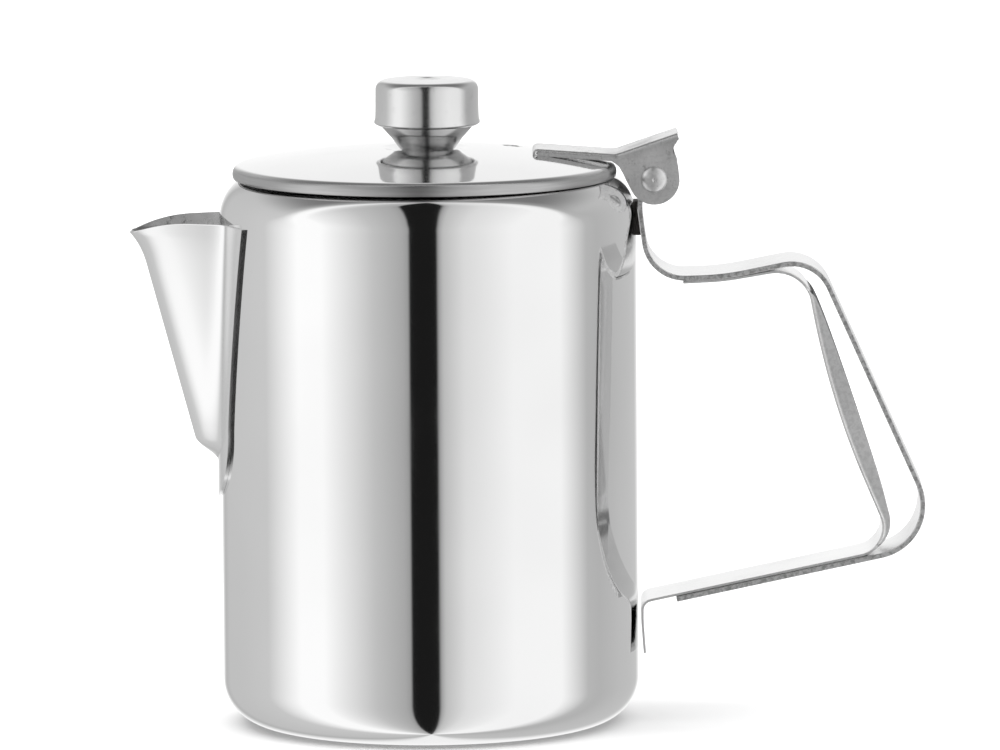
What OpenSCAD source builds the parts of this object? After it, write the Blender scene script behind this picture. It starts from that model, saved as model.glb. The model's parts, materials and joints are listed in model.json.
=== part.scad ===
// Hinged-lid serving pot in sheet steel: drawn body, welded spout, flat-strap handle,
// domed lid on a riveted lever. The pot stands on z = 0 with its axis on the z axis,
// the handle towards +X and the spout towards -X.

/* [Body] */
// Outside radius of the straight wall
body_r = 48.5; // [46:0.5:52]
// Thickness of the body sheet
body_t = 0.7; // [0.5:0.1:1]
// Outside radius of the bend between wall and bottom
base_bend = 10.4; // [7:0.2:12]
// Height at which the shoulder begins
shoulder_z = 118.4; // [112:0.2:124]
// Outside radius of the shoulder bend
shoulder_bend = 11; // [9:0.5:12]

/* [Lid] */
// Outside radius of the lid
lid_r = 44.7; // [44.4:0.1:45.2]
// Thickness of the lid sheet
lid_t = 0.7; // [0.5:0.1:0.9]
// Radius of the sphere that the lid is pressed to
dome_r = 235; // [180:5:260]
// Diameter of the steam vent
vent_d = 3.7; // [2:0.1:5]

/* [Knob] */
// Radius of the knob cap's side
cap_r = 12; // [11:0.1:13]
// Height of the knob above its seat
knob_h = 16.95; // [15:0.05:18]

/* [Hinge] */
// Distance of the hinge axis from the pot's axis
hinge_x = 52.65; // [52.4:0.05:53]
// Height of the hinge axis
hinge_z = 127.45; // [127:0.05:128]
// Diameter of the rivet's shank
pin_d = 4.2; // [3.6:0.1:4.4]
// Width of the lid lever over its cheeks
lever_w = 15.5; // [15:0.1:17]

/* [Handle] */
// Width of the outer strap
outer_w = 20; // [17:0.5:22]
// Thickness of the outer strap
outer_t = 1.2; // [1:0.1:1.4]
// Width of the inner strap
inner_w = 18; // [16:0.5:20]
// Thickness of the inner strap
inner_t = 0.6; // [0.5:0.1:0.7]
// Depth of the rolled edges at the middle of the grip
grip_depth = 4.25; // [3:0.05:4.6]

/* [Spout] */
// Thickness of the spout sheet
spout_t = 0.8; // [0.6:0.1:1]
// Height of the spout's level rim
spout_top = 118.2; // [116:0.2:119]
// Reach of the pouring lip from the pot's axis
lip_reach = 69.2; // [66:0.2:72]

/* [Hidden] */

$fn = 96;
slack = 0.05;               // running clearance of the rivet, on the radius
far = 200;                  // longer than anything that it cuts

// --- outline helpers: every outline is a list of points in a plane ---

// Points of an arc about c from angle a0 to a1, both ends included
function arc(c, r, a0, a1, n = 12) =
    [for (i = [0 : n]) let (a = a0 + (a1 - a0) * i / n) c + r * [cos(a), sin(a)]];

function reversed(list) = [for (i = [len(list) - 1 : -1 : 0]) list[i]];
function unit(v) = v / norm(v);
function left_of(v) = [-v.y, v.x];

// A path is a list of [point, bend radius]. These samples are [point, normal] pairs
// along it, with each inner corner turned into an arc of its bend radius.
function bend_samples(p, a, b, r, n = 10) =
    let (din = unit(p - a),
         dout = unit(b - p),
         turn = atan2(din.x * dout.y - din.y * dout.x, din * dout),
         side = sign(turn),
         reach = r * tan(abs(turn) / 2),
         c = p - din * reach + left_of(din) * side * r)
    [for (i = [0 : n])
        let (t = turn * i / n,
             d = [din.x * cos(t) - din.y * sin(t), din.x * sin(t) + din.y * cos(t)])
        [c - left_of(d) * side * r, left_of(d)]];

function path_samples(path) =
    let (last = len(path) - 1)
    concat(
        [[path[0][0], left_of(unit(path[1][0] - path[0][0]))]],
        [for (i = [1 : last - 1])
            for (s = bend_samples(path[i][0], path[i - 1][0], path[i + 1][0], path[i][1])) s],
        [[path[last][0], left_of(unit(path[last][0] - path[last - 1][0]))]]);

// Outline of a strip of thickness t whose middle follows a path
function strip(path, t) =
    let (s = path_samples(path))
    concat([for (q = s) q[0] + q[1] * t / 2],
           reversed([for (q = s) q[0] - q[1] * t / 2]));

// Stands an outline drawn in X and Z upright and gives it a width along Y
module upright(width, y = 0) {
    translate([0, y, 0])
        rotate([90, 0, 0])
            linear_extrude(width, center = true)
                children();
}

// A cylinder along Y through the point x, z
module rod(x, z, r, length, y = 0) {
    translate([x, y, z])
        rotate([90, 0, 0])
            cylinder(r = r, h = length, center = true);
}

// --- body ---

shoulder_sweep = 68;        // angle that the shoulder turns through
lip_bend = 1.1;             // outside radius of the turned-in mouth
mouth_depth = 1.8;          // how far the mouth turns down inside
foot_rise = 1;              // how far the middle of the bottom is pushed up
foot_r = 34.5;              // inner radius of the ring that the pot stands on
hole_d = 3;                 // strainer hole
hole_pitch = 5.4;
hole_rows = 8;
hole_first_z = 70;

shoulder_c = [body_r - shoulder_bend, shoulder_z];
lip_c = shoulder_c + (shoulder_bend - lip_bend) * [cos(shoulder_sweep), sin(shoulder_sweep)];
base_c = [body_r - base_bend, base_bend];

// One side of the body sheet, moved inwards by d, from the axis up to the mouth
function body_side(d) = concat(
    [[0, foot_rise + d], [foot_r - 1.4, foot_rise + d], [foot_r + 0.4 * d, d]],
    arc(base_c, base_bend - d, -90, 0),
    arc(shoulder_c, shoulder_bend - d, 0, shoulder_sweep),
    arc(lip_c, lip_bend - d, shoulder_sweep, 180),
    [[lip_c.x - lip_bend + d, lip_c.y - mouth_depth]]);

module strainer_holes() {
    for (row = [0 : hole_rows - 1])
        for (col = [-1 : 1])
            translate([-body_r, (col + (row % 2) / 2 - 0.25) * hole_pitch,
                       hole_first_z + row * hole_pitch])
                rotate([0, 90, 0])
                    cylinder(d = hole_d, h = base_bend, center = true, $fn = 24);
}

module pot_body() {
    color("gainsboro")
        difference() {
            rotate_extrude($fn = 180)
                polygon(concat(body_side(0), reversed(body_side(body_t))));
            strainer_holes();
        }
}

// --- spout: a sheet that is a height over the plane of Y and Z ---

spout_foot = 53.4;          // lowest point of the flange on the body
trough_foot = 60.8;         // where the trough leaves the body
trough_full = 67.2;         // above this the trough has its full depth
knee_z = 70;                // below this the trough and the flange round off
flange_top = 24.3;          // half width of the flange at the rim
flange_knee = 16;           // half width of the flange at the knee
nose_top = 64.1;            // reach of the nose line at nose_z, below the flared lip
nose_z = 103.8;
nose_slope = 0.2686;        // how fast the nose line runs out with height
rim_dip = 2.7;              // how much lower the rim is at the pouring lip than at the body
rim_level = 55;             // the rim is level out to here
wall_top = 14.8;            // half width of the trough at the rim
wall_knee = 8.6;            // half width of the trough at the knee
flare_z = 8;                // height of the flared lip
blend = 3.6;                // softness of the fillet between trough and flange
trough_power = 2.2;         // how square the trough's section is: 2 is a parabola
spout_gap = 0.02;           // the flange lies this far off the wall

function clamp01(v) = min(1, max(0, v));
function mix(a, b, f) = a + (b - a) * f;

// Half width of the flange at height z: a taper above the knee, a quarter ellipse below
function flange_half(z) =
    z > knee_z
    ? mix(flange_knee, flange_top, pow((z - knee_z) / (spout_top - knee_z), 1.12))
    : flange_knee * sqrt(1 - pow(clamp01((knee_z - z) / (knee_z - spout_foot)), 2.4));

// Share of the full trough that is left at height z, from 0 at its foot
function fullness(z) =
    let (t = clamp01((z - trough_foot) / (trough_full - trough_foot)))
    t * t * (3 - 2 * t);

function nose_line(z) = nose_top + (z - nose_z) * nose_slope;

// How far the nose stands from the pot's axis at height z
function nose(z) =
    let (lip_z = spout_top - rim_dip,
         flare = pow(clamp01((z - lip_z + flare_z) / flare_z), 2.5),
         flare_reach = lip_reach - nose_line(lip_z))
    mix(body_r, nose_line(z), fullness(z)) + flare * flare_reach;

// Half width of the trough at height z
function wall_half(z) =
    mix(wall_knee, wall_top, clamp01((z - knee_z) / (spout_top - knee_z)))
    * max(0.25, fullness(z));

// The larger of a and b, with the corner between them rounded over k
function soft_max(a, b, k) =
    let (h = clamp01(0.5 + (a - b) / (2 * k)))
    mix(b, a, h) + k * h * (1 - h);

// Distance of the middle of the sheet from the plane x = 0
function spout_reach(y, z) =
    let (wall = sqrt(pow(body_r + spout_gap + spout_t / 2, 2) - y * y),
         half = wall_half(z),
         root = sqrt(body_r * body_r - half * half),
         trough = nose(z) - (nose(z) - root) * pow(abs(y) / half, trough_power))
    fullness(z) <= 0 ? wall : soft_max(wall, trough, blend * fullness(z));

// Height of the rim above a point that stands x out from the axis
function rim_z(x) = spout_top - rim_dip * pow(clamp01((x - rim_level) / (lip_reach - rim_level)), 2);

spout_cols = 28;
spout_rows = 24;

// The sheet's middle at u from -1 to 1 across and v from 0 to 1 upwards
function spout_point(u, v) =
    let (z0 = mix(spout_foot + 0.05, spout_top, v),
         x0 = spout_reach(u * flange_half(z0), z0),
         z = mix(spout_foot + 0.05, rim_z(x0), v),
         y = u * flange_half(z))
    [-spout_reach(y, z), y, z];

function spout_normal(u, v) =
    let (e = 0.004,
         du = spout_point(min(1, u + e), v) - spout_point(max(-1, u - e), v),
         dv = spout_point(u, min(1, v + e)) - spout_point(u, max(0, v - e)))
    unit(cross(dv, du));

// Points of one face of the sheet, pushed out along the normal by d
function spout_face(d) =
    [for (j = [0 : spout_rows])
        for (i = [0 : spout_cols])
            let (u = sin(90 * (2 * i / spout_cols - 1)),
                 v = j / spout_rows)
            spout_point(u, v) + d * spout_normal(u, v)];

module spout_sheet() {
    cols = spout_cols + 1;
    count = cols * (spout_rows + 1);
    faces_out = [for (j = [0 : spout_rows - 1])
        for (i = [0 : spout_cols - 1])
            let (a = j * cols + i)
            [a, a + cols, a + cols + 1, a + 1]];
    faces_in = [for (f = faces_out) [f[3] + count, f[2] + count, f[1] + count, f[0] + count]];
    border = concat([for (i = [0 : spout_cols]) i],
                    [for (j = [1 : spout_rows]) j * cols + spout_cols],
                    [for (i = [1 : spout_cols]) spout_rows * cols + spout_cols - i],
                    [for (j = [1 : spout_rows - 1]) (spout_rows - j) * cols]);
    edge = [for (i = [0 : len(border) - 1])
        let (a = border[i],
             b = border[(i + 1) % len(border)])
        [a, b, b + count, a + count]];
    polyhedron(concat(spout_face(spout_t / 2), spout_face(-spout_t / 2)),
               concat(faces_out, faces_in, edge), convexity = 8);
}

module spout() {
    color("whitesmoke")
        spout_sheet();
}

// --- handle ---

lever_t = 0.9;              // sheet of the lid lever
pin_r = pin_d / 2;
eye_r = pin_r + slack + outer_t;                       // outside of the curled eye
eye_w = lever_w - 2 * lever_t - 0.6;                   // the eye runs between the cheeks

outer_path = [
    [[hinge_x - eye_r + outer_t / 2, hinge_z], 0],
    [[body_r + 0.75, 121], 15],
    [[body_r + 2.85, 104.35], 9.4],
    [[68.5, 104.8], 60],
    [[90, 109.05], 9.5],
    [[119.8, 42.3], 12],
    [[57.3, 29.26], 0]];

module strap_taper() {
    // front view of the outer strap: narrow at the eye, full width below the shoulder
    waist = 121.5;
    full = 113;
    rotate([90, 0, 90])
        linear_extrude(far)
            polygon([[-eye_w / 2, far], [-eye_w / 2, waist], [-outer_w / 2, full], [-outer_w / 2, 0],
                     [outer_w / 2, 0], [outer_w / 2, full], [eye_w / 2, waist], [eye_w / 2, far]]);
}

module outer_strap() {
    color("silver")
        difference() {
            union() {
                intersection() {
                    upright(outer_w) polygon(strip(outer_path, outer_t));
                    strap_taper();
                }
                rod(hinge_x, hinge_z, eye_r, eye_w);
            }
            rod(hinge_x, hinge_z, pin_r + slack, far);
            // the curl's end stops just short of the strap
            translate([hinge_x - 0.9, 0, hinge_z - eye_r / 2 - 1])
                cube([0.5, far, eye_r + 2], center = true);
        }
}

stack = (outer_t + inner_t) / 2 + 0.02;                 // between the middles of the two straps
grip_ends = [102, 41];      // heights between which the long edges are rolled back
foot_bosses = [[4.5, 24.5], [-4.5, 24.5]];              // y and z of the foot's two contact bosses

inner_path = [
    [[59.2, 104.4 - stack], 0],
    [[68.6, 104.8 - stack], 60],
    [[87.7, 107.02], 8.55],
    [[93.45, 75.6], 190],
    [[108.25, 40.81], 6.6],
    [[body_r + 0.9, 28.57], 2.3],
    [[body_r + 0.9, 23.5], 30],
    [[body_r + 1.4, 16.5], 0]];

// How far a rolled edge stands back from the middle of the strap at height z
function edge_depth(z) =
    grip_depth * pow(max(0, sin(180 * (grip_ends[0] - z) / (grip_ends[0] - grip_ends[1]))), 0.6);

// Side view of one rolled edge
module rolled_edge() {
    grip = [for (q = path_samples(inner_path))
        if (q[0].x > 80 && q[0].y < grip_ends[0] && q[0].y > grip_ends[1]) q];
    polygon(concat([for (q = grip) q[0]],
                   reversed([for (q = grip) q[0] + q[1] * edge_depth(q[0].y)])));
}

module inner_strap() {
    color("lightgray")
        difference() {
            union() {
                upright(inner_w) polygon(strip(inner_path, inner_t));
                for (side = [-1, 1])
                    upright(inner_t, side * (inner_w - inner_t) / 2) rolled_edge();
                for (boss = foot_bosses)
                    translate([body_r - 1, boss.x, boss.y])
                        rotate([0, 90, 0])
                            cylinder(r = 1.8, h = 1.9);
            }
            cylinder(r = body_r, h = 60, $fn = 180);
        }
}

pad_top = 121.8;
pad_foot = 114;
pad_w = 7;
pad_gap = 0.03;             // the pad is pressed this close between wall and strap

module strap_pad() {
    // curved to the wall on one side and shaped to the strap on the other
    color("dimgray")
        difference() {
            translate([body_r - 1.5, -pad_w / 2, pad_foot])
                cube([2.7, pad_w, pad_top - pad_foot]);
            rotate_extrude($fn = 180)
                polygon(concat([[0, 0]], [for (p = body_side(-pad_gap)) p], [[0, far]]));
            upright(far) polygon(strip(outer_path, outer_t + 2 * pad_gap));
        }
}

module hinge_pin() {
    head_r = 3.05;
    head_h = 1.5;
    color("silver")
        union() {
            rod(hinge_x, hinge_z, pin_r, lever_w);
            for (side = [-1, 1])
                translate([hinge_x, side * lever_w / 2, hinge_z])
                    rotate([-side * 90, 0, 0])
                        rotate_extrude()
                            polygon(concat([[0, 0]],
                                [for (a = [0 : 9 : 90]) [head_r * cos(a), head_h * sin(a)]]));
        }
}

// --- lid ---

dome_top = 134.8;           // height that the dome would reach at its axis
lid_shift = -0.7;           // the lid was trimmed this far off the pot's axis
rim_bend = 2.2;             // outside radius of the rolled rim
seat_r = 7;                 // flat seat under the knob
seat_z = 133.7;
crest_r = 9.4;              // where the pressed seat meets the dome
rim_tuck = -25;             // where the rolled rim ends, below level

function dome(r) = dome_top - r * r / (2 * dome_r);

rim_c = let (r = lid_r - rim_bend,
             lean = asin(r / dome_r))
        [r, dome(r + rim_bend * sin(lean)) - rim_bend * cos(lean)];

function lid_side(d) = concat(
    [[0, seat_z - d], [seat_r, seat_z - d]],
    [for (r = [crest_r : (rim_c.x - crest_r) / 16 : rim_c.x]) [r, dome(r) - d]],
    arc(rim_c, rim_bend - d, 76, rim_tuck));

vent = [19.6, 9.5];

module lid_shell() {
    color("gainsboro")
        difference() {
            translate([lid_shift, 0, 0])
                rotate_extrude($fn = 180)
                    polygon(concat(lid_side(0), reversed(lid_side(lid_t))));
            translate([vent.x, vent.y, seat_z])
                cylinder(d = vent_d, h = 10, center = true);
            cylinder(r = screw_r, h = far);
        }
}

ring_r = 39;                // outside of the ring that centres the lid in the mouth
ring_t = 0.6;
ring_foot = 124.6;

ring_lap = 4.5;             // width of its flange, welded under the dome

module lid_ring() {
    top = dome(ring_r) - lid_t - 0.02;
    inner_top = dome(ring_r - ring_lap) - lid_t - 0.02;
    color("lightgray")
        translate([lid_shift, 0, 0])
            rotate_extrude($fn = 120)
                polygon([[ring_r - ring_t, ring_foot], [ring_r, ring_foot],
                         [ring_r, top - 0.1], [ring_r - ring_lap, inner_top],
                         [ring_r - ring_lap, inner_top - ring_t], [ring_r - ring_t, top - 0.7]]);
}

lever_end = 24.5;           // inner end of the lever
lever_end_z = 134.75;       // top of the lever there
lever_knee = [43.75, 133.35];
tab_end = [58.2, 138.2];
cheek_r = 5.9;
skirt_h = 1.55;             // depth of the turned-down edge over the lid

module lever_plate() {
    half = lever_t / 2;
    path = [[[lever_end, lever_end_z - half], 0],
            [lever_knee - [0, half], 4],
            [tab_end - [0, half], 0]];
    upright(lever_w) polygon(strip(path, lever_t));
}

// Side view of one turned-down edge with its hinge cheek
module cheek_outline() {
    polygon([[lever_end, lever_end_z - 0.3], [lever_end, lever_end_z - skirt_h],
             lever_knee - [0.9, skirt_h], lever_knee + [0.7, -1.2 - skirt_h],
             [hinge_x - cheek_r - 0.8, hinge_z],
             [hinge_x - cheek_r * cos(25), hinge_z - cheek_r * sin(25)],
             [hinge_x, hinge_z - 2], [hinge_x + cheek_r, hinge_z],
             [hinge_x + cheek_r - 0.5, hinge_z + 3.5], [hinge_x + cheek_r - 1.8, hinge_z + 6.5],
             tab_end - [0, 0.6], lever_knee - [0, 0.5]]);
}

module lid_lever() {
    color("darkgray")
        difference() {
            union() {
                lever_plate();
                translate([lever_end, -lever_w / 2, lever_end_z - skirt_h])
                    cube([lever_t, lever_w, skirt_h - 0.4]);
                for (side = [-1, 1]) {
                    upright(lever_t, side * (lever_w - lever_t) / 2) cheek_outline();
                    rod(hinge_x, hinge_z, cheek_r, lever_t, side * (lever_w - lever_t) / 2);
                }
            }
            rod(hinge_x, hinge_z, pin_r, far);
            // the underside follows the lid
            translate([lid_shift, 0, 0])
                rotate_extrude($fn = 180)
                    polygon(concat([[0, seat_z - 5], [0, dome(0)]],
                        [for (r = [crest_r : (rim_c.x - crest_r) / 16 : rim_c.x]) [r, dome(r)]],
                        arc(rim_c, rim_bend, 76, rim_tuck)));
        }
}

// --- knob: a cap and a cone seamed together over a threaded boss ---

knob_z = seat_z;
lip_z = knob_z + 6.9;       // widest part of the cap's lower lip
knob_t = 0.6;
screw_r = 1.95;

module knob_cap() {
    edge = 2.2;
    top = knob_z + knob_h;
    color("silver")
        rotate_extrude()
            polygon(concat(
                [[0, top]],
                arc([cap_r - edge, top - 0.3 - edge], edge, 90, 0, 8),
                [[cap_r + 0.1, lip_z + 0.9], [cap_r + 0.35, lip_z], [cap_r - 0.5, lip_z - 0.8],
                 [cap_r - 0.8, lip_z - 0.3], [cap_r - knob_t, lip_z + 0.6]],
                arc([cap_r - edge, top - 0.3 - edge], edge - knob_t, 0, 90, 8),
                [[0, top - knob_t]]));
}

cone_foot_r = 6.05;
crease_r = 8.45;
crease_z = 3.4;             // height of the crease above the seat

module knob_cone() {
    color("darkgray")
        rotate_extrude()
            polygon([[screw_r + 0.5, knob_z], [cone_foot_r, knob_z],
                     [crease_r, knob_z + crease_z], [cap_r - 1.15, lip_z - 0.85],
                     [cap_r - 1.15, lip_z - 0.25], [cap_r - 1.9, lip_z - 0.85],
                     [crease_r - 0.75, knob_z + crease_z + 0.2],
                     [cone_foot_r - 0.6, knob_z + knob_t], [screw_r + 0.5, knob_z + knob_t]]);
}

module knob_boss() {
    // threaded boss inside the knob that the screw draws down on the seat
    color("darkgray")
        difference() {
            union() {
                translate([0, 0, knob_z]) cylinder(r = screw_r + 0.5, h = 8);
                translate([0, 0, knob_z + knob_t]) cylinder(r = 5, h = 1.2);
            }
            translate([0, 0, knob_z - 1]) cylinder(r = screw_r, h = 8);
        }
}

washer_t = 0.8;
washer_r = 5.5;

module knob_washer() {
    color("silver")
        translate([0, 0, seat_z - lid_t - washer_t])
            difference() {
                cylinder(r = washer_r, h = washer_t);
                translate([0, 0, -1]) cylinder(r = screw_r, h = washer_t + 2);
            }
}

module knob_screw() {
    head_r = 3.6;
    head_h = 1.7;
    head_z = seat_z - lid_t - washer_t;
    color("silver")
        difference() {
            union() {
                translate([0, 0, head_z]) cylinder(r = screw_r, h = 8);
                translate([0, 0, head_z])
                    rotate_extrude()
                        polygon(concat([[0, 0]],
                            [for (a = [0 : 9 : 90]) [head_r * cos(a), -head_h * sin(a)]]));
            }
            // driving slot
            translate([0, 0, head_z - head_h])
                cube([far, 0.9, 1.6], center = true);
        }
}

pot_body();
spout();
outer_strap();
inner_strap();
strap_pad();
hinge_pin();
lid_shell();
lid_ring();
lid_lever();
knob_cap();
knob_cone();
knob_boss();
knob_screw();
knob_washer();
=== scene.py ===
"""Looks for the lidded steel serving pot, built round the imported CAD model.

The pot's axis is the z axis, its handle points to +X and its spout to -X. Shapes are worked
out in millimetres and turned into metres when a mesh is made.
"""

import json
import math

import bmesh
import bpy
from mathutils import Matrix, Vector


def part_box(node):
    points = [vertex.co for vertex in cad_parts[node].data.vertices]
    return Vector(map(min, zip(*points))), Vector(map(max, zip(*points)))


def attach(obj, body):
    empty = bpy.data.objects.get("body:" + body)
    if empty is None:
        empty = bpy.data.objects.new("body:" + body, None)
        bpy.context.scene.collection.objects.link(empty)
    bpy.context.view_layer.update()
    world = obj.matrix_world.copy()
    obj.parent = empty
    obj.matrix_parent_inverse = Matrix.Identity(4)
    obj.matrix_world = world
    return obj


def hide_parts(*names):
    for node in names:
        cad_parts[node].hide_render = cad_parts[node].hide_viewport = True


MM = 0.001
SPIN_STEPS = 192

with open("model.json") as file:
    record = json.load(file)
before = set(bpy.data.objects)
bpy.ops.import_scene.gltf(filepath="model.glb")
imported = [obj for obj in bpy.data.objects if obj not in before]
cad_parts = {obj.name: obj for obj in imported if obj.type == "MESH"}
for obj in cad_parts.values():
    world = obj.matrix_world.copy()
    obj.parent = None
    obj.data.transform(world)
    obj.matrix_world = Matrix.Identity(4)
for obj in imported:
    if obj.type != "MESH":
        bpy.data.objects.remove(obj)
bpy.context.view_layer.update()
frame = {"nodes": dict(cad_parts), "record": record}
RECORD = frame["record"]


def box_mm(node):
    """Lowest and highest corner of a CAD node, in millimetres."""
    low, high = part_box(node)
    return low / MM, high / MM


# --- driving sizes, in millimetres ---

BODY_R = box_mm("pot_body")[1].x
BODY_T = 0.7
BASE_BEND = 10.4
SHOULDER_BEND = 11.0
SHOULDER_Z = 118.4
SHOULDER_SWEEP = 68.0
LIP_BEND = 1.1
FOOT_R = 34.5
FOOT_RISE = 1.0
STRAINER_Z = 70.0
HOLE_PITCH = 5.4
HOLE_R = 1.5

HINGE = Vector(RECORD["behaviour"]["joints"][0]["pos_m"]) / MM
PIN_R = 2.1

LID_LOW, LID_HIGH = box_mm("lid_shell")
LID_X = (LID_LOW.x + LID_HIGH.x) / 2
LID_R = (LID_HIGH.x - LID_LOW.x) / 2
LID_T = 0.7
DOME_TOP = 134.8
DOME_R = 235.0
RIM_BEND = 2.2
RIM_TUCK = -25
SEAT_R = 7.0
SEAT_Z = 133.7
CREST_R = 9.4
VENT = Vector((19.6, 9.5))
VENT_R = 1.85

KNOB_TOP = box_mm("knob_cap")[1].z
CAP_R = 12.0
LIP_Z = SEAT_Z + 6.9
CONE_FOOT_R = 6.05
CREASE_R = 8.45
CREASE_Z = 3.4

LEVER_W = 15.5
LEVER_T = 0.9
OUTER_W = 20.0
OUTER_T = 1.2
INNER_W = 18.0
INNER_T = 0.6
SPOUT_T = 0.8


# --- outline helpers ---


def arc(cx, cy, r, start, end, steps=12):
    """Points of an arc from one angle to another, in degrees."""
    angles = [math.radians(start + (end - start) * i / steps) for i in range(steps + 1)]
    return [(cx + r * math.cos(a), cy + r * math.sin(a)) for a in angles]


def bend(a, p, b, r, steps):
    """Points and left-hand normals round the corner p of a path, bent to radius r."""
    into = (p - a).normalized()
    out = (b - p).normalized()
    turn = math.atan2(into.x * out.y - into.y * out.x, into.dot(out))
    side = 1 if turn > 0 else -1
    left = Vector((-into.y, into.x))
    centre = p - into * r * math.tan(abs(turn) / 2) + left * side * r
    found = []
    for i in range(steps + 1):
        t = turn * i / steps
        d = Vector(
            (
                into.x * math.cos(t) - into.y * math.sin(t),
                into.x * math.sin(t) + into.y * math.cos(t),
            )
        )
        normal = Vector((-d.y, d.x))
        found.append((centre - normal * side * r, normal))
    return found


def path_samples(path, spacing=1.2):
    """Even samples (point, left-hand normal) along a path of (x, z, bend radius) corners."""
    corners = [Vector(c[:2]) for c in path]
    first = (corners[1] - corners[0]).normalized()
    last = (corners[-1] - corners[-2]).normalized()
    rough = [(corners[0], Vector((-first.y, first.x)))]
    for i in range(1, len(path) - 1):
        rough += bend(corners[i - 1], corners[i], corners[i + 1], path[i][2], 24)
    rough.append((corners[-1], Vector((-last.y, last.x))))
    lengths = [0.0]
    for (p, _), (q, _) in zip(rough, rough[1:]):
        lengths.append(lengths[-1] + (q - p).length)
    count = max(2, round(lengths[-1] / spacing))
    even = []
    k = 0
    for i in range(count + 1):
        s = lengths[-1] * i / count
        while k < len(rough) - 2 and lengths[k + 1] < s:
            k += 1
        f = (s - lengths[k]) / max(1e-9, lengths[k + 1] - lengths[k])
        point = rough[k][0].lerp(rough[k + 1][0], f)
        normal = rough[k][1].lerp(rough[k + 1][1], f).normalized()
        even.append((point, normal))
    return even


# --- mesh makers ---


def finish_mesh(bm, name, material):
    """Turns a bmesh in millimetres into a smooth object in metres."""
    bmesh.ops.remove_doubles(bm, verts=bm.verts, dist=0.002)
    bmesh.ops.recalc_face_normals(bm, faces=bm.faces)
    bmesh.ops.scale(bm, vec=(MM, MM, MM), verts=bm.verts)
    mesh = bpy.data.meshes.new(name)
    bm.to_mesh(mesh)
    bm.free()
    mesh.shade_smooth()
    mesh.materials.append(material)
    piece = bpy.data.objects.new(name, mesh)
    bpy.context.collection.objects.link(piece)
    return piece


def pierce(bm, centre, axis, radius):
    """Cuts a round hole through both skins of a closed sheet and lines it."""
    axis = Vector(axis)
    centre = Vector(centre)

    def outwards(point):
        away = point - centre
        return away - axis * away.dot(axis)

    cut = [
        f
        for f in bm.faces
        if outwards(f.calc_center_median()).length < radius * 0.93
        and (f.calc_center_median() - centre).length < radius * 4
    ]
    bmesh.ops.delete(bm, geom=cut, context="FACES")
    rim = [e for e in bm.edges if e.is_boundary]
    for v in {v for e in rim for v in e.verts}:
        away = outwards(v.co)
        v.co += away.normalized() * radius - away
    bmesh.ops.bridge_loops(bm, edges=rim)


def spun(name, outline, material, centre=(0, 0), steps=SPIN_STEPS, holes=()):
    """A closed (r, z) outline spun round an upright axis, with holes of (centre, axis, radius)."""
    bm = bmesh.new()
    ring = [bm.verts.new((r, 0, z)) for r, z in outline]
    edges = [bm.edges.new(pair) for pair in zip(ring, ring[1:] + ring[:1])]
    bmesh.ops.spin(
        bm,
        geom=ring + edges,
        axis=(0, 0, 1),
        cent=(0, 0, 0),
        angle=math.tau,
        steps=steps,
        use_merge=True,
    )
    bmesh.ops.translate(bm, vec=(centre[0], centre[1], 0), verts=bm.verts)
    for place, axis, radius in holes:
        pierce(bm, place, axis, radius)
    return finish_mesh(bm, name, material)


def bent_sheet(name, columns, rows, place, thickness, material, edge=0.12, even=True):
    """A sheet whose middle is place(u, v), with u and v from 0 to 1, given a thickness."""
    bm = bmesh.new()
    bmesh.ops.create_grid(bm, x_segments=columns, y_segments=rows, size=0.5)
    for v in bm.verts:
        v.co = place(v.co.x + 0.5, v.co.y + 0.5)
    piece = finish_mesh(bm, name, material)
    thicken(piece, thickness, edge, even)
    return piece


def thicken(piece, thickness, edge, even=True):
    """Gives a sheet its thickness and small round edges."""
    solid = piece.modifiers.new("thickness", "SOLIDIFY")
    solid.thickness = thickness * MM
    solid.offset = 0.0
    solid.use_even_offset = even
    round_edges(piece, edge)


def round_edges(piece, width, segments=2, angle=40):
    """Small round edges wherever two faces meet at more than an angle."""
    bevel = piece.modifiers.new("edges", "BEVEL")
    bevel.width = width * MM
    bevel.segments = segments
    bevel.limit_method = "ANGLE"
    bevel.angle_limit = math.radians(angle)
    bevel.harden_normals = True


def settle(piece, body, slot, *nodes):
    """Ties a finished piece to its body and hides the CAD nodes it stands for; slot is not used."""
    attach(piece, body)
    if nodes:
        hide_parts(*nodes)
    return piece


# --- materials ---


class Value:
    """A number socket that can be used in a sum."""

    def __init__(self, shader, socket):
        self.shader = shader
        self.socket = socket

    def _join(self, kind, a, b):
        return self.shader.math(kind, a, b)

    def __add__(self, other):
        return self._join("ADD", self, other)

    def __radd__(self, other):
        return self._join("ADD", other, self)

    def __sub__(self, other):
        return self._join("SUBTRACT", self, other)

    def __rsub__(self, other):
        return self._join("SUBTRACT", other, self)

    def __mul__(self, other):
        return self._join("MULTIPLY", self, other)

    def __rmul__(self, other):
        return self._join("MULTIPLY", other, self)


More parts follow.
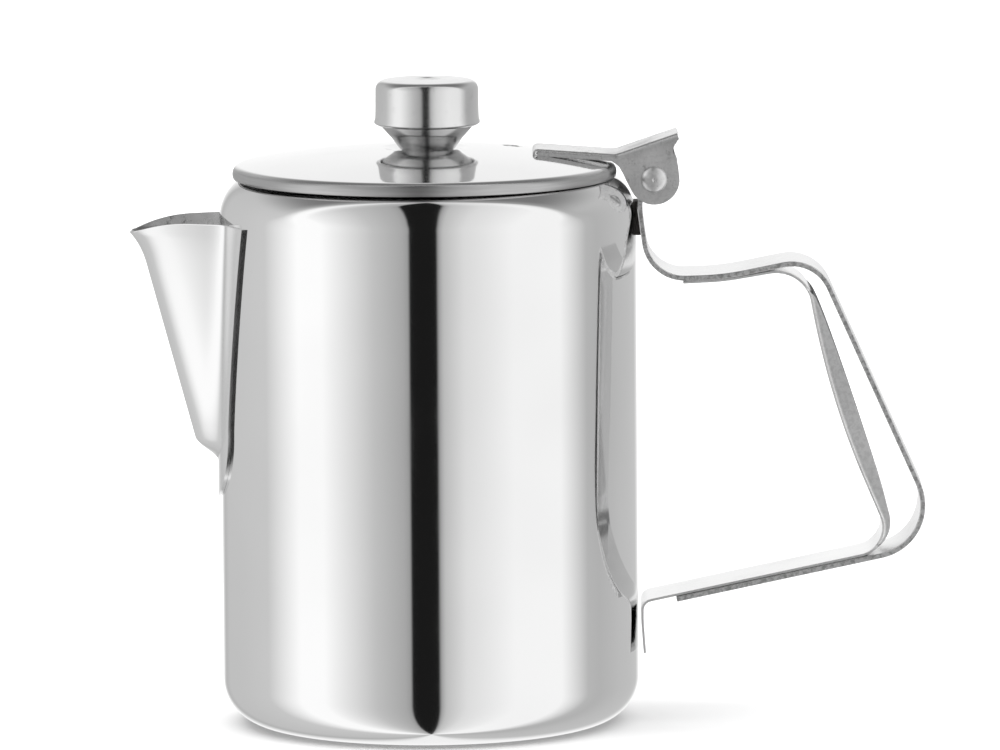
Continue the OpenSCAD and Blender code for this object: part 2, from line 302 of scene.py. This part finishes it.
class Shader:
    """Makes the nodes of one node tree."""

    def __init__(self, tree):
        self.tree = tree
        tree.nodes.clear()

    def node(self, kind, settings=None, **sockets):
        """A node of any kind, with its settings and its socket values or links."""
        made = self.tree.nodes.new(kind)
        for key, value in (settings or {}).items():
            setattr(made, key, value)
        for key, value in sockets.items():
            self.put(made.inputs[key.replace("_", " ")], value)
        return made

    def put(self, socket, value):
        """Links a value to a socket, or sets the socket to it."""
        if isinstance(value, Value):
            value = value.socket
        if isinstance(value, bpy.types.NodeSocket):
            self.tree.links.new(value, socket)
        else:
            socket.default_value = value

    def math(self, kind, a, b=0.0):
        """One step of a sum, such as ADD or ARCTAN2."""
        made = self.tree.nodes.new("ShaderNodeMath")
        made.operation = kind
        self.put(made.inputs[0], a)
        self.put(made.inputs[1], b)
        return Value(self, made.outputs[0])

    def ramp(self, value, low, high, start=0.0, end=1.0, kind="SMOOTHSTEP"):
        """Goes from start to end as a value goes from low to high, smoothly unless told."""
        made = self.tree.nodes.new("ShaderNodeMapRange")
        made.interpolation_type = kind
        for index, setting in enumerate((value, low, high, start, end)):
            self.put(made.inputs[index], setting)
        return Value(self, made.outputs[0])

    def coordinate(self, kind, axis):
        """One part of a coordinate of the surface, or of a direction for the world."""
        coords = self.node("ShaderNodeTexCoord")
        parts = self.node("ShaderNodeSeparateXYZ", Vector=coords.outputs[kind])
        return Value(self, parts.outputs[axis])

    def noise(self, scale, detail=3.0, stretch=(1, 1, 1), rough=0.55):
        """Noise in object coordinates, in lumps of about one over scale metres."""
        place = self.node("ShaderNodeTexCoord").outputs["Object"]
        spread = self.node("ShaderNodeVectorMath", {"operation": "MULTIPLY"})
        self.put(spread.inputs[0], place)
        self.put(spread.inputs[1], stretch)
        made = self.node(
            "ShaderNodeTexNoise", Scale=scale, Detail=detail, Roughness=rough
        )
        self.put(made.inputs["Vector"], spread.outputs[0])
        return Value(self, made.outputs[0])

    def tint(self, factor, dark, light):
        """Mixes two colours."""
        made = self.tree.nodes.new("ShaderNodeMix")
        made.data_type = "RGBA"
        self.put(made.inputs["Factor"], factor)
        self.put(made.inputs[6], (*dark, 1))
        self.put(made.inputs[7], (*light, 1))
        return made.outputs[2]


def steel(name, dark, light, rough, grain, bump=0.1, smudge=0.0, pits=0.0, rim=None, ends=None):
    """Bare steel: colour drift, smudges, grain lines, pits and a fine bump.

    rough is (least, spread), grain is (scale, stretch); rim is (low, high, roughness, tone) for a
    band by height in millimetres that is brushed instead, its tone darkened as a painted reflection;
    ends is (roughness, tone) for faces cut or pressed square to the side, seen as facing along Y.
    """
    material = bpy.data.materials.new(name)
    material.use_nodes = True
    sh = Shader(material.node_tree)
    drift = sh.noise(18, 2)
    blotch = sh.ramp(sh.noise(55, 4), 0.45, 0.75)
    lines = sh.noise(grain[0], 2, grain[1], 0.6)
    specks = sh.ramp(sh.noise(420, 5, (1, 1, 1), 0.7), 0.56, 0.68)
    roughness = rough[0] + rough[1] * lines + smudge * blotch + pits * 0.4 * specks
    tone = 1 - pits * specks - 0.25 * smudge * blotch
    if rim:
        low, high, rim_rough, rim_painted_reflection = rim
        height = sh.coordinate("Object", 2)
        band = sh.ramp(height, high * MM, low * MM)
        roughness = roughness + band * rim_rough
        # painted reflection: the band's tone is darkened, beside its rougher brushed finish
        tone = tone * (1 - band * rim_painted_reflection * (0.7 + 0.6 * lines))
    if ends:
        facing = sh.ramp(sh.math("ABSOLUTE", sh.coordinate("Normal", 1)), 0.8, 0.97)
        fine = sh.ramp(sh.noise(900, 3, (1, 1, 1), 0.7), 0.42, 0.62)
        roughness = roughness + facing * ends[0]
        tone = tone * (1 - facing * ends[1] * fine)
    colour = sh.tint(sh.ramp(drift, 0.3, 0.7), dark, light)
    shade = sh.node("ShaderNodeVectorMath", {"operation": "SCALE"}, Scale=tone)
    sh.put(shade.inputs[0], colour)
    bumps = sh.node(
        "ShaderNodeBump", Strength=bump, Distance=0.00002, Height=lines - pits * specks
    )
    surface = sh.node(
        "ShaderNodeBsdfPrincipled",
        Base_Color=shade.outputs[0],
        Metallic=1.0,
        Roughness=roughness,
        Normal=bumps.outputs[0],
    )
    out = sh.node("ShaderNodeOutputMaterial")
    sh.put(out.inputs["Surface"], surface.outputs[0])
    return material


UPRIGHT = (1, 1, 0.04)
AROUND = (0.05, 0.05, 1)
EVERY_WAY = (1, 1, 1)

MIRROR = steel(
    "mirror_steel", (0.79,) * 3, (0.83,) * 3, (0.045, 0.02), (900, UPRIGHT), 0.02, 0.02
)
SPOUT_STEEL = steel(
    "spout_steel", (0.79,) * 3, (0.83,) * 3, (0.15, 0.04), (900, UPRIGHT), 0.03, 0.03
)
STAINED = steel(
    "unpolished_steel", (0.30,) * 3, (0.62,) * 3, (0.16, 0.2), (260, EVERY_WAY), 0.6, 0.6, 0.45
)
LID_MIRROR = steel(
    "lid_steel", (0.76,) * 3, (0.80,) * 3, (0.06, 0.03), (1500, AROUND), 0.03, 0.04, 0.0,
    # the rolled rim below 130.75 mm is rougher, and its tone is darkened as a painted reflection band
    rim=(129.9, 130.75, 0.24, 0.40),
)
TURNED = steel(
    "turned_steel", (0.66,) * 3, (0.76,) * 3, (0.13, 0.08), (1500, AROUND), 0.3, 0.05, 0.05
)
STRAP = steel(
    "strap_steel", (0.72,) * 3, (0.80,) * 3, (0.14, 0.08), (1400, EVERY_WAY), 0.2, 0.06, 0.03,
    ends=(0.22, 0.45),
)
GRIP = steel(
    "grip_steel", (0.76,) * 3, (0.84,) * 3, (0.12, 0.08), (1400, EVERY_WAY), 0.2, 0.06, 0.03,
    ends=(0.32, 0.12),
)
# painted shade: a darker copy of the turned steel, for the cone under the cap's lip
SHADED_CONE_STEEL = steel(
    "cone_steel_painted_shade", (0.50,) * 3, (0.62,) * 3, (0.15, 0.10), (1500, AROUND), 0.35, 0.08, 0.08
)
PRESSED = steel(
    "pressed_steel", (0.60,) * 3, (0.76,) * 3, (0.20, 0.12), (900, EVERY_WAY), 0.8, 0.22, 0.30,
    ends=(0.12, 0.12),
)
PLAIN = steel(
    "plain_steel", (0.48,) * 3, (0.60,) * 3, (0.25, 0.15), (700, EVERY_WAY), 0.3, 0.1, 0.1
)
# near-black steel for the strap pad: painted shadow in the gap between the handle strap and the wall
PAINTED_SHADOW_STEEL = steel(
    "painted_shadow_steel", (0.07, 0.065, 0.06), (0.2, 0.19, 0.18), (0.35, 0.2), (800, EVERY_WAY),
    0.4, 0.1, 0.2,
)


# --- body ---


def body_side(d):
    """One side of the body sheet moved in by d, from the axis up to the mouth."""
    sweep = math.radians(SHOULDER_SWEEP)
    reach = SHOULDER_BEND - LIP_BEND
    shoulder = (BODY_R - SHOULDER_BEND, SHOULDER_Z)
    lip = (shoulder[0] + reach * math.cos(sweep), shoulder[1] + reach * math.sin(sweep))
    base = (BODY_R - BASE_BEND, BASE_BEND)
    wall = [(BODY_R - d, STRAINER_Z + i * HOLE_PITCH / 3) for i in range(-33, 27)]
    floor = [(max(r, 0.01), FOOT_RISE + d) for r in (0, 10, 20, 28, 32.3, 33.1)]
    return (
        floor
        + [(FOOT_R + 0.4 * d, d)]
        + arc(*base, BASE_BEND - d, -90, 0, 24)
        + wall
        + arc(*shoulder, SHOULDER_BEND - d, 0, SHOULDER_SWEEP, 20)
        + arc(*lip, LIP_BEND - d, SHOULDER_SWEEP, 180, 10)
        + [(lip[0] - LIP_BEND + d, lip[1] - 1.8)]
    )


def strainer_holes():
    """Staggered rows of small holes through the wall behind the spout."""
    found = []
    for row in range(8):
        for column in (-1, 0, 1):
            y = (column + (row % 2) / 2 - 0.25) * HOLE_PITCH
            out = Vector((-math.cos(y / BODY_R), math.sin(y / BODY_R), 0))
            spot = out * BODY_R + Vector((0, 0, STRAINER_Z + row * HOLE_PITCH))
            found.append((spot, out, HOLE_R))
    return found


def make_body():
    """The pot's steel shell, spun round its middle and pierced for the strainer."""
    outline = body_side(0) + list(reversed(body_side(BODY_T)))
    # four steps of the spin are one pitch of the strainer holes
    steps = 2 * round(math.tau * BODY_R / HOLE_PITCH * 2)
    piece = spun("pot_shell", outline, MIRROR, steps=steps, holes=strainer_holes())
    settle(piece, "pot", "polished_steel", "pot_body")


# --- lid ---


def dome(r):
    """Height of the lid's top at a distance from its middle."""
    return DOME_TOP - r * r / (2 * DOME_R)


def lid_side(d):
    """One side of the lid sheet moved down by d, from the middle to the tucked-in rim."""
    rim_r = LID_R - RIM_BEND
    lean = math.asin(rim_r / DOME_R)
    rim = (rim_r, dome(rim_r + RIM_BEND * math.sin(lean)) - RIM_BEND * math.cos(lean))
    crest = [(CREST_R + (rim_r - CREST_R) * i / 28) for i in range(29)]
    seat = [(0.01, SEAT_Z), (SEAT_R * 0.5, SEAT_Z), (SEAT_R - 0.4, SEAT_Z), (SEAT_R, SEAT_Z + 0.06)]
    return (
        [(r, z - d) for r, z in seat]
        + [(r, dome(r) - d) for r in crest]
        + arc(*rim, RIM_BEND - d, 78, RIM_TUCK, 20)
    )


def make_lid():
    """The lid's domed sheet, with the knob's seat and a small vent."""
    outline = lid_side(0) + list(reversed(lid_side(LID_T)))
    vent = (Vector((*VENT, dome(VENT.length))), (0, 0, 1), VENT_R)
    piece = spun("lid_dome", outline, LID_MIRROR, (LID_X, 0), holes=[vent])
    settle(piece, "lid", "polished_steel", "lid_shell")


# --- knob ---


def make_knob():
    """The knob's turned cap and the cone under it."""
    edge = 2.2
    top = KNOB_TOP
    corner = (CAP_R - edge, top - 0.3 - edge)
    cap = (
        [(0.01, top), (4, top - 0.02), (7, top - 0.1)]
        + arc(*corner, edge, 88, 0, 14)
        + [(CAP_R + 0.03, LIP_Z + 3), (CAP_R + 0.1, LIP_Z + 0.9), (CAP_R + 0.28, LIP_Z + 0.35)]
        + arc(CAP_R, LIP_Z - 0.1, 0.35, 20, -60, 5)
        + [(CAP_R - 0.5, LIP_Z - 0.8), (CAP_R - 0.8, LIP_Z - 0.3), (CAP_R - 0.6, LIP_Z + 0.6)]
        + arc(*corner, edge - 0.6, 0, 88, 8)
        + [(0.01, top - 0.6)]
    )
    settle(spun("knob_cap_shell", cap, TURNED, steps=128), "lid", "turned_steel", "knob_cap")
    crease = SEAT_Z + CREASE_Z
    cone = (
        [(2.45, SEAT_Z), (CONE_FOOT_R - 0.3, SEAT_Z), (CONE_FOOT_R, SEAT_Z + 0.15)]
        + [(CREASE_R - 0.25, crease - 0.35), (CREASE_R, crease - 0.05), (CREASE_R + 0.3, crease + 0.25)]
        + [(CAP_R - 1.15, LIP_Z - 0.85), (CAP_R - 1.15, LIP_Z - 0.25), (CAP_R - 1.9, LIP_Z - 0.85)]
        + [(CREASE_R - 0.75, crease + 0.2), (CONE_FOOT_R - 0.6, SEAT_Z + 0.6), (2.45, SEAT_Z + 0.6)]
    )
    # the cone's darker steel is painted shade under the cap
    settle(spun("knob_cone_shell", cone, SHADED_CONE_STEEL, steps=128), "lid", "turned_steel", "knob_cone")


# --- spout ---

SPOUT_FOOT = 53.4
TROUGH_FOOT = 60.8
TROUGH_FULL = 67.2
KNEE_Z = 70.0
SPOUT_TOP = 118.2
LIP_REACH = 69.2
RIM_DIP = 2.7
RIM_LEVEL = 55
FLARE_Z = 8
LIP_FOOT = SPOUT_TOP - RIM_DIP - FLARE_Z
NOSE_TOP = 64.1
NOSE_Z = 103.8
NOSE_SLOPE = 0.2686
SPOUT_BLEND = 3.6
SPOUT_GAP = 0.02
FLANGE_KNEE = 16
FLANGE_TOP = 24.3
TROUGH_KNEE = 8.6
TROUGH_TOP = 14.8
TROUGH_POWER = 2.2


def clamp01(v):
    """Keeps a value between 0 and 1."""
    return min(1.0, max(0.0, v))


def mix(a, b, f):
    """The value a share f of the way from a to b."""
    return a + (b - a) * f


def flange_half(z):
    """Half width of the flange: a taper above the knee, rounded off below it."""
    if z > KNEE_Z:
        return mix(FLANGE_KNEE, FLANGE_TOP, ((z - KNEE_Z) / (SPOUT_TOP - KNEE_Z)) ** 1.12)
    return FLANGE_KNEE * math.sqrt(1 - clamp01((KNEE_Z - z) / (KNEE_Z - SPOUT_FOOT)) ** 2.4)


def fullness(z):
    """Share of the trough's full depth that is reached at a height."""
    t = clamp01((z - TROUGH_FOOT) / (TROUGH_FULL - TROUGH_FOOT))
    return t * t * (3 - 2 * t)


def nose_line(z):
    """How far out the straight part of the spout's front edge stands."""
    return NOSE_TOP + (z - NOSE_Z) * NOSE_SLOPE


def nose(z):
    """How far out the spout stands in the middle, with its flared lip."""
    flare = clamp01((z - LIP_FOOT) / FLARE_Z) ** 2.5
    reach = LIP_REACH - nose_line(LIP_FOOT + FLARE_Z)
    return mix(BODY_R, nose_line(z), fullness(z)) + flare * reach


def wall_half(z):
    """Half width of the trough where it leaves the wall."""
    grown = mix(TROUGH_KNEE, TROUGH_TOP, clamp01((z - KNEE_Z) / (SPOUT_TOP - KNEE_Z)))
    return grown * max(0.25, fullness(z))


def soft_max(a, b, k):
    """The larger of two values, with the corner between them rounded over k."""
    h = clamp01(0.5 + (a - b) / (2 * k))
    return mix(b, a, h) + k * h * (1 - h)


def spout_reach(y, z):
    """How far the middle of the sheet stands from the plane of the handle's axis."""
    wall = math.sqrt((BODY_R + SPOUT_GAP + SPOUT_T / 2) ** 2 - y * y)
    if fullness(z) <= 0:
        return wall
    half = wall_half(z)
    root = math.sqrt(BODY_R * BODY_R - half * half)
    trough = nose(z) - (nose(z) - root) * (abs(y) / half) ** TROUGH_POWER
    return soft_max(wall, trough, SPOUT_BLEND * fullness(z))


def rim_z(x):
    """Height of the spout's rim, which dips towards the lip."""
    return SPOUT_TOP - RIM_DIP * clamp01((x - RIM_LEVEL) / (LIP_REACH - RIM_LEVEL)) ** 2


def spout_point(u, v):
    """A point on the middle of the sheet, across and up."""
    across = math.sin(math.pi * (u - 0.5))
    z0 = mix(SPOUT_FOOT + 0.05, SPOUT_TOP, v)
    y = across * flange_half(z0)
    z = mix(SPOUT_FOOT + 0.05, rim_z(spout_reach(y, z0)), v)
    return Vector((-spout_reach(y, z), y, z))


def make_spout():
    """The spout's one sheet: a flange against the wall and a trough between."""
    piece = bent_sheet("spout_sheet", 150, 130, spout_point, SPOUT_T, STAINED, 0.36)
    piece.data.materials.append(SPOUT_STEEL)
    piece.modifiers["thickness"].material_offset = 1
    piece.modifiers["thickness"].material_offset_rim = 1
    piece.modifiers["edges"].segments = 4
    settle(piece, "pot", "polished_steel", "spout")


# --- handle straps ---

# the outer strap's end is curled round the rivet with a little play
EYE_R = PIN_R + 0.05 + OUTER_T / 2
EYE_TURN = 260
EYE_STEPS = 40
# the inner strap's middle lies this far inside the outer strap's
STACK = (OUTER_T + INNER_T) / 2 + 0.02

OUTER_PATH = [
    (HINGE.x - EYE_R, HINGE.z, 0),
    (BODY_R + 0.75, 121, 15),
    (BODY_R + 2.85, 104.35, 9.4),
    (68.5, 104.8, 60),
    (90, 109.05, 9.5),
    (119.8, 42.3, 12),
    (57.3, 29.26, 0),
]
INNER_PATH = [
    (59.2, 104.4 - STACK, 0),
    (68.6, 104.8 - STACK, 60),
    (87.7, 107.02, 8.55),
    (93.45, 75.6, 190),
    (108.25, 40.81, 6.6),
    (BODY_R + 0.9, 28.57, 2.3),
    (BODY_R + 0.9, 23.5, 30),
    (BODY_R + 1.4, 16.5, 0),
]
GRIP_TOP = 102.0
GRIP_FOOT = 41.0
GRIP_DEPTH = 4.25
GRIP_BEND = 0.8


def eye_samples():
    """The curl round the rivet, from its free end to where the strap leaves it."""
    found = []
    for i in range(EYE_STEPS):
        a = math.radians(-80 + i * EYE_TURN / (EYE_STEPS - 1))
        out = Vector((math.cos(a), math.sin(a)))
        found.append((Vector((HINGE.x, HINGE.z)) + out * EYE_R, out * -1))
    return found


def outer_half_width(z):
    """The strap narrows towards the eye, to run between the lever's cheeks."""
    eye_half = (LEVER_W - 2 * LEVER_T - 0.6) / 2
    return mix(OUTER_W / 2, eye_half, clamp01((z - 113) / 8.5))


def make_outer_strap():
    """The handle's outer strap, curled round the rivet at its top."""
    samples = eye_samples() + path_samples(OUTER_PATH)[1:]
    rows = len(samples) - 1

    def place(u, v):
        point, _ = samples[round(v * rows)]
        half = outer_half_width(point.y)
        return Vector((point.x, (2 * u - 1) * half, point.y))

    piece = bent_sheet("handle_outer_strap", 16, rows, place, OUTER_T, STRAP, 0.2)
    settle(piece, "pot", "strap_steel", "outer_strap")


def edge_depth(point):
    """How deep the grip's long edges are turned back at a point of the path."""
    if point.x < 80 or not GRIP_FOOT < point.y < GRIP_TOP:
        return 0.0
    return GRIP_DEPTH * math.sin(math.pi * (GRIP_TOP - point.y) / (GRIP_TOP - GRIP_FOOT)) ** 0.6


def make_inner_strap():
    """The handle's inner strap, with the grip's long edges turned back."""
    samples = path_samples(INNER_PATH, 0.8)
    rows = len(samples) - 1
    columns = 48

    def place(u, v):
        point, normal = samples[round(v * rows)]
        depth = max(0.0, edge_depth(point) - INNER_T / 2)
        half = (INNER_W - INNER_T * clamp01(depth)) / 2
        curl = min(GRIP_BEND, depth)
        side = -1 if u < 0.5 else 1
        s = abs(2 * u - 1) * (half + depth)
        flat = half - curl
        turned = curl * math.pi / 2
        # the corner is shorter once it is rounded
        s = s * (half + depth - 2 * curl + turned) / (half + depth)
        if s <= flat:
            across, back = s, 0.0
        elif s <= flat + turned:
            a = (s - flat) / curl
            across, back = flat + curl * math.sin(a), curl * (1 - math.cos(a))
        else:
            across, back = half, curl + s - flat - turned
        centre = point + normal * back
        return Vector((centre.x, side * across, centre.y))

    piece = bent_sheet("handle_inner_strap", columns, rows, place, INNER_T, GRIP, 0.12)
    settle(piece, "pot", "strap_steel", "inner_strap")


# --- lid lever and rivet ---


def make_pin():
    """The hinge rivet, with a domed head at each end."""
    head_r = 3.05
    head_h = 1.5
    half = LEVER_W / 2
    dome_arc = arc(0, half, head_r, 3, 80, 12)
    cap = [(r, half + (z - half) * head_h / head_r) for r, z in dome_arc]
    mark = [(0.42, half + head_h * 0.975), (0.3, half + head_h * 0.8), (0.01, half + head_h * 0.75)]
    side = [(0.01, 0.01), (PIN_R, 0.01), (PIN_R, half), (head_r, half)] + cap + mark
    bm = bmesh.new()
    ring = [bm.verts.new((r, 0, z)) for r, z in side]
    edges = [bm.edges.new(pair) for pair in zip(ring, ring[1:])]
    bmesh.ops.spin(
        bm, geom=ring + edges, axis=(0, 0, 1), cent=(0, 0, 0), angle=math.tau, steps=72,
        use_merge=True,
    )
    bmesh.ops.mirror(bm, geom=bm.verts[:] + bm.edges[:] + bm.faces[:], axis="Z", merge_dist=0.02)
    bmesh.ops.rotate(bm, matrix=Matrix.Rotation(math.radians(90), 3, "X"), verts=bm.verts)
    bmesh.ops.translate(bm, vec=HINGE, verts=bm.verts)
    piece = finish_mesh(bm, "hinge_rivet", PRESSED)
    settle(piece, "lid", "strap_steel", "hinge_pin")


LEVER_PATH = [
    (24.95, 133.25, 0),
    (24.95, 134.3, 0.7),
    (43.75, 132.9, 4),
    (58.15, 137.75, 0),
]
CHEEK_R = 5.9


def make_lever():
    """The lever on the lid: a flat top with a skirt down each side."""
    half_t = LEVER_T / 2
    top = path_samples(LEVER_PATH, 0.35)
    rows = len(top) - 1
    outline = skirt_outline(top)
    side_rows = 14
    bend_rows = 6
    flat_rows = 10
    across = 2 * (side_rows + bend_rows) + flat_rows
    bend_r = 1.0
    half_w = LEVER_W / 2 - half_t

    def place(u, v):
        k = round(v * rows)
        point, normal = top[k]
        foot = outline[k]
        i = round(u * across)
        side = -1 if i <= across / 2 else 1
        i = min(i, across - i)
        start = point - normal * bend_r
        if i <= side_rows:
            p = foot.lerp(start, i / side_rows)
            return Vector((p.x, side * half_w, p.y))
        if i <= side_rows + bend_rows:
            a = math.pi / 2 * (i - side_rows) / bend_rows
            p = start + normal * bend_r * math.sin(a)
            return Vector((p.x, side * (half_w - bend_r * (1 - math.cos(a))), p.y))
        y = half_w - bend_r
        f = (i - side_rows - bend_rows) / (flat_rows / 2)
        return Vector((point.x, side * y * (1 - f), point.y))

    piece = bent_sheet("lid_lever_sheet", across, rows, place, LEVER_T, PRESSED, 0.15, False)
    settle(piece, "lid", "strap_steel", "lid_lever")


def skirt_outline(top):
    """For each sample of the lever's top, a point on the lower outline of its sides."""
    lid_line = [(24.95, 133.15), (31, 132.7), (35.7, 132.35), (40.3, 132.0), (42.8, 131.8)]
    cheek = [(44.4, 130.6), (45.4, 128.9), (46.1, 127.3)]
    round_part = arc(HINGE.x, HINGE.z, CHEEK_R, 204, 360, 40)
    back = [(58.2, 130.7), (57.2, 133.4), (56.9, 134.6), (57.6, 136.1)]
    line = [Vector(p) for p in lid_line + cheek + round_part + back]
    lengths = [0.0]
    for p, q in zip(line, line[1:]):
        lengths.append(lengths[-1] + (q - p).length)
    knee = next(i for i, (p, _) in enumerate(top) if p.x > 42.5)
    knee_length = lengths[len(lid_line) - 1]
    found = []
    last = len(top) - 1
    start = next(i for i, (p, _) in enumerate(top) if p.x > 25.6)
    for i in range(len(top)):
        if i <= start:
            s = 0.0
        elif i <= knee:
            s = knee_length * (i - start) / (knee - start)
        else:
            s = knee_length + (lengths[-1] - knee_length) * (i - knee) / (last - knee)
        k = 0
        while k < len(line) - 2 and lengths[k + 1] < s:
            k += 1
        f = (s - lengths[k]) / (lengths[k + 1] - lengths[k])
        found.append(line[k].lerp(line[k + 1], f))
    return found


# --- pieces kept from the CAD ---


def dress_cad_nodes():
    """Finishes for the hidden pieces, which keep their CAD shape."""
    looks = {
        # the strap pad is coloured near black as painted shadow between the strap and the wall
        "strap_pad": PAINTED_SHADOW_STEEL,
        "lid_ring": PLAIN,
        "knob_boss": PLAIN,
        "knob_screw": PLAIN,
        "knob_washer": PLAIN,
    }
    for node, material in looks.items():
        mesh = frame["nodes"][node].data
        mesh.materials.clear()
        mesh.materials.append(material)


# --- studio ---


# light level round the room: degrees from the camera side, positive towards the handle
PANELS = [
    (-173, 1.05),
    (-160, 0.52),
    (-150, 0.62),
    (-102, 0.70),
    (-77, 1.20),
    (-61, 1.20),
    (-30, 0.65),
    (-14, 0.48),
    (-10.8, 0.40),
    (-9.6, 0.012),
    (4.6, 0.012),
    (6.0, 0.42),
    (8.5, 0.62),
    (20, 0.87),
    (48, 1.10),
    (78, 1.10),
    (98, 0.56),
    (108, 0.53),
    (130, 0.59),
    (160, 0.62),
    (173, 1.05),
]
# light level straight overhead
OVERHEAD = 0.22


def make_world():
    """Soft boxes to the left and right, a dark gap behind the camera, dimmer overhead."""
    world = bpy.data.worlds.new("studio")
    bpy.context.scene.world = world
    world.use_nodes = True
    sh = Shader(world.node_tree)
    x, y, z = (sh.coordinate("Generated", i) for i in range(3))
    # towards the top the panels run straight over the pot instead of meeting in a point
    straight = sh.ramp(z, 0.12, 0.5)
    across = sh.math("SQRT", 1.0001 - x * x) * sh.ramp(y, -0.22, 0.22, 1.0, -1.0)
    depth = across * straight - y * (1 - straight)
    turn = sh.math("ARCTAN2", x, depth) * math.degrees(1)
    level = PANELS[0][1]
    for (begin, before), (end, after) in zip(PANELS, PANELS[1:]):
        level = level + sh.ramp(turn, begin, end, 0.0, after - before, "LINEAR")
    overhead = sh.ramp(z, 0.42, 0.85) * sh.ramp(y, -0.1, 0.15)
    level = level + overhead * (OVERHEAD - level)
    glow = sh.node("ShaderNodeBackground", Color=(1, 1, 1, 1), Strength=level)
    out = sh.node("ShaderNodeOutputWorld")
    sh.put(out.inputs["Surface"], glow.outputs[0])


def make_lamp():
    """A wide soft light over the floor, not seen in the steel."""
    data = bpy.data.lights.new("ceiling", "AREA")
    data.size = 8
    data.energy = 420
    lamp = bpy.data.objects.new("ceiling", data)
    lamp.location = (0, 0.6, 4)
    lamp.visible_glossy = False
    bpy.context.collection.objects.link(lamp)


def make_floor():
    """A plain pale floor, lit evenly."""
    bm = bmesh.new()
    bmesh.ops.create_grid(bm, x_segments=2, y_segments=2, size=8000)
    bmesh.ops.translate(bm, vec=(0, 0, -0.02), verts=bm.verts)
    material = bpy.data.materials.new("pale_floor")
    material.use_nodes = True
    sh = Shader(material.node_tree)
    paper = sh.tint(sh.noise(3, 2), (0.93, 0.93, 0.93), (0.95, 0.95, 0.95))
    surface = sh.node("ShaderNodeBsdfPrincipled", Base_Color=paper, Roughness=0.9)
    out = sh.node("ShaderNodeOutputMaterial")
    sh.put(out.inputs["Surface"], surface.outputs[0])
    floor = finish_mesh(bm, "studio_floor", material)
    floor.visible_glossy = False


def make_camera():
    """A long lens, a little above the pot and turned very slightly."""
    distance = 2.6
    elevation = math.radians(7.3)
    roll = math.radians(-0.4)
    aim = Vector((0.01655, 0, 0.081))
    forward = Vector((0, math.cos(elevation), -math.sin(elevation)))
    right = Vector((1, 0, 0))
    up = right.cross(forward)
    side = right * math.cos(roll) + up * math.sin(roll)
    top = up * math.cos(roll) - right * math.sin(roll)
    data = bpy.data.cameras.new("camera")
    data.sensor_width = 36
    data.lens = 401.4
    data.dof.use_dof = False
    data.clip_start = 0.1
    data.clip_end = 50
    camera = bpy.data.objects.new("camera", data)
    bpy.context.collection.objects.link(camera)
    turned = Matrix((side, top, -forward)).transposed().to_4x4()
    turned.translation = aim - forward * distance
    camera.matrix_world = turned
    bpy.context.scene.camera = camera
    bpy.context.scene.view_settings.view_transform = "Standard"


make_world()
make_lamp()
make_floor()
make_camera()
make_body()
make_spout()
make_outer_strap()
make_inner_strap()
make_lid()
make_knob()
make_lever()
make_pin()
dress_cad_nodes()
